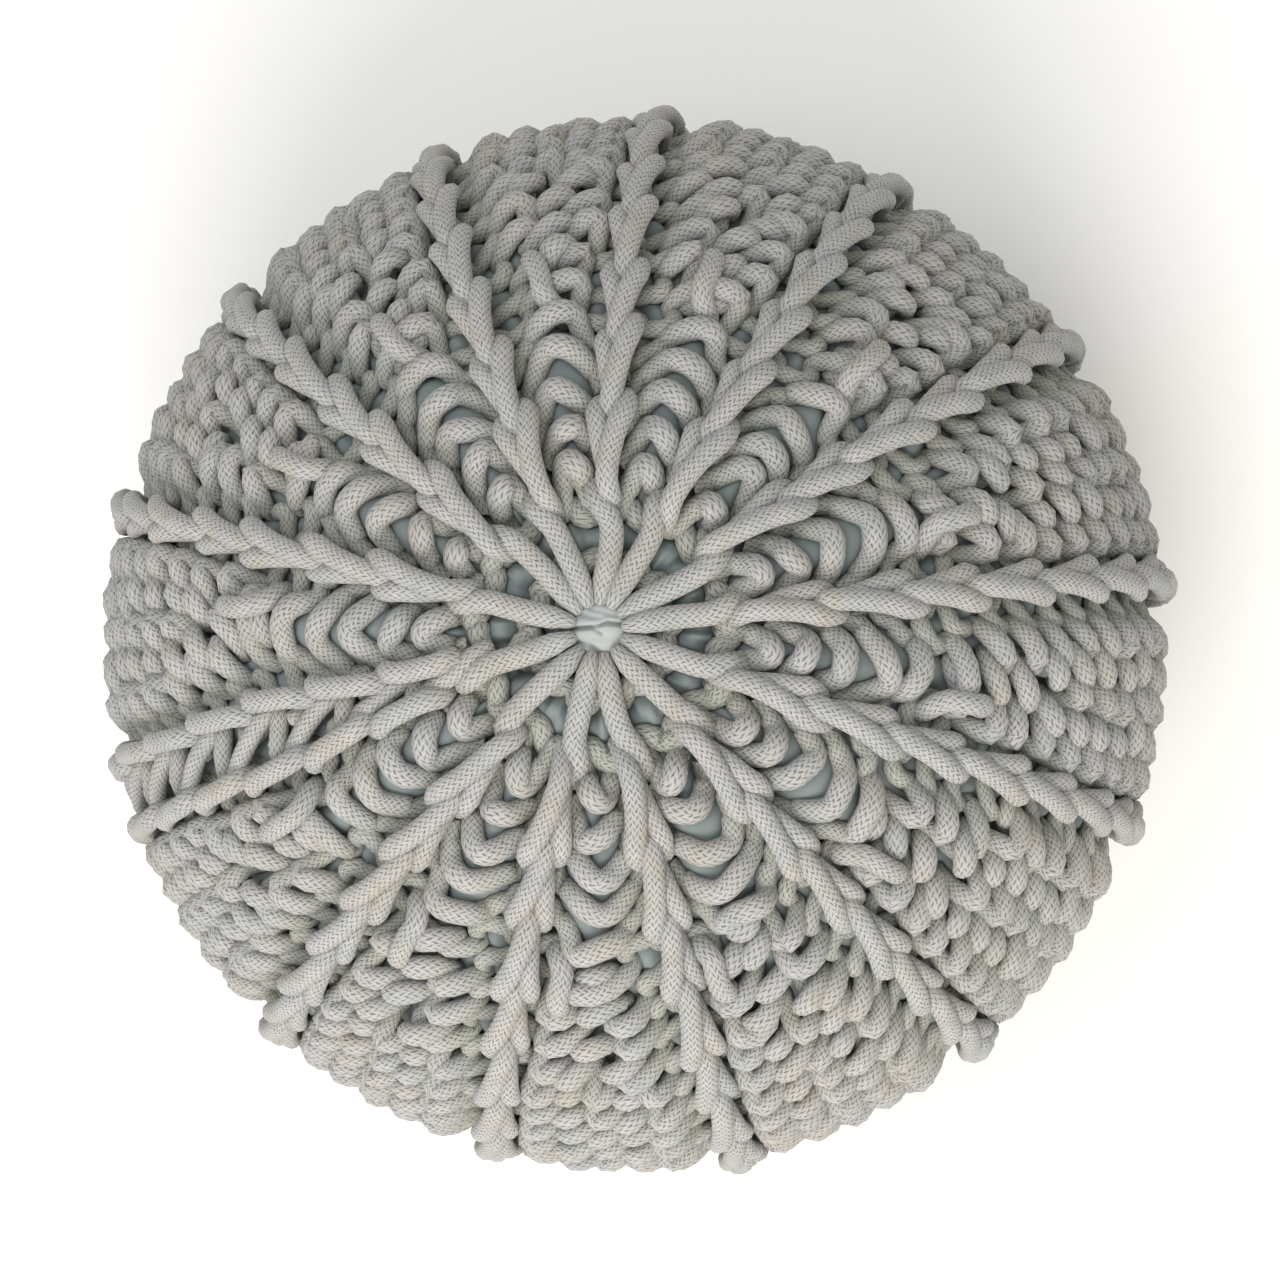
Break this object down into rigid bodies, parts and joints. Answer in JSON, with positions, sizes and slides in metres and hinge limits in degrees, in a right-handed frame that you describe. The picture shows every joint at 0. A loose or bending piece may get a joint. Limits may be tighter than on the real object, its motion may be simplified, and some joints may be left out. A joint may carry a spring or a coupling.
{
  "type": "knitted floor pouf",
  "caption": "Round floor pouf: a ribbed cover hand-knitted from thick braided cotton cord, drawn together at the top over a filled cloth casing.",
  "frame": {"origin": "on the floor under the middle of the pouf", "axes": "+Z up through the eye in the top; +X to the right and +Y up when the top is seen from above, with the sewn seam on the -X side"},
  "size_m": [0.4931, 0.4951, 0.3508],
  "materials": {
    "braided_cotton": "soft braided cotton cord, matt",
    "casing_cloth": "plain woven cloth, matt"
  },
  "bodies": {
    "root": {"knit_cover": "braided_cotton", "casing": "casing_cloth"}
  },
  "joints": []
}
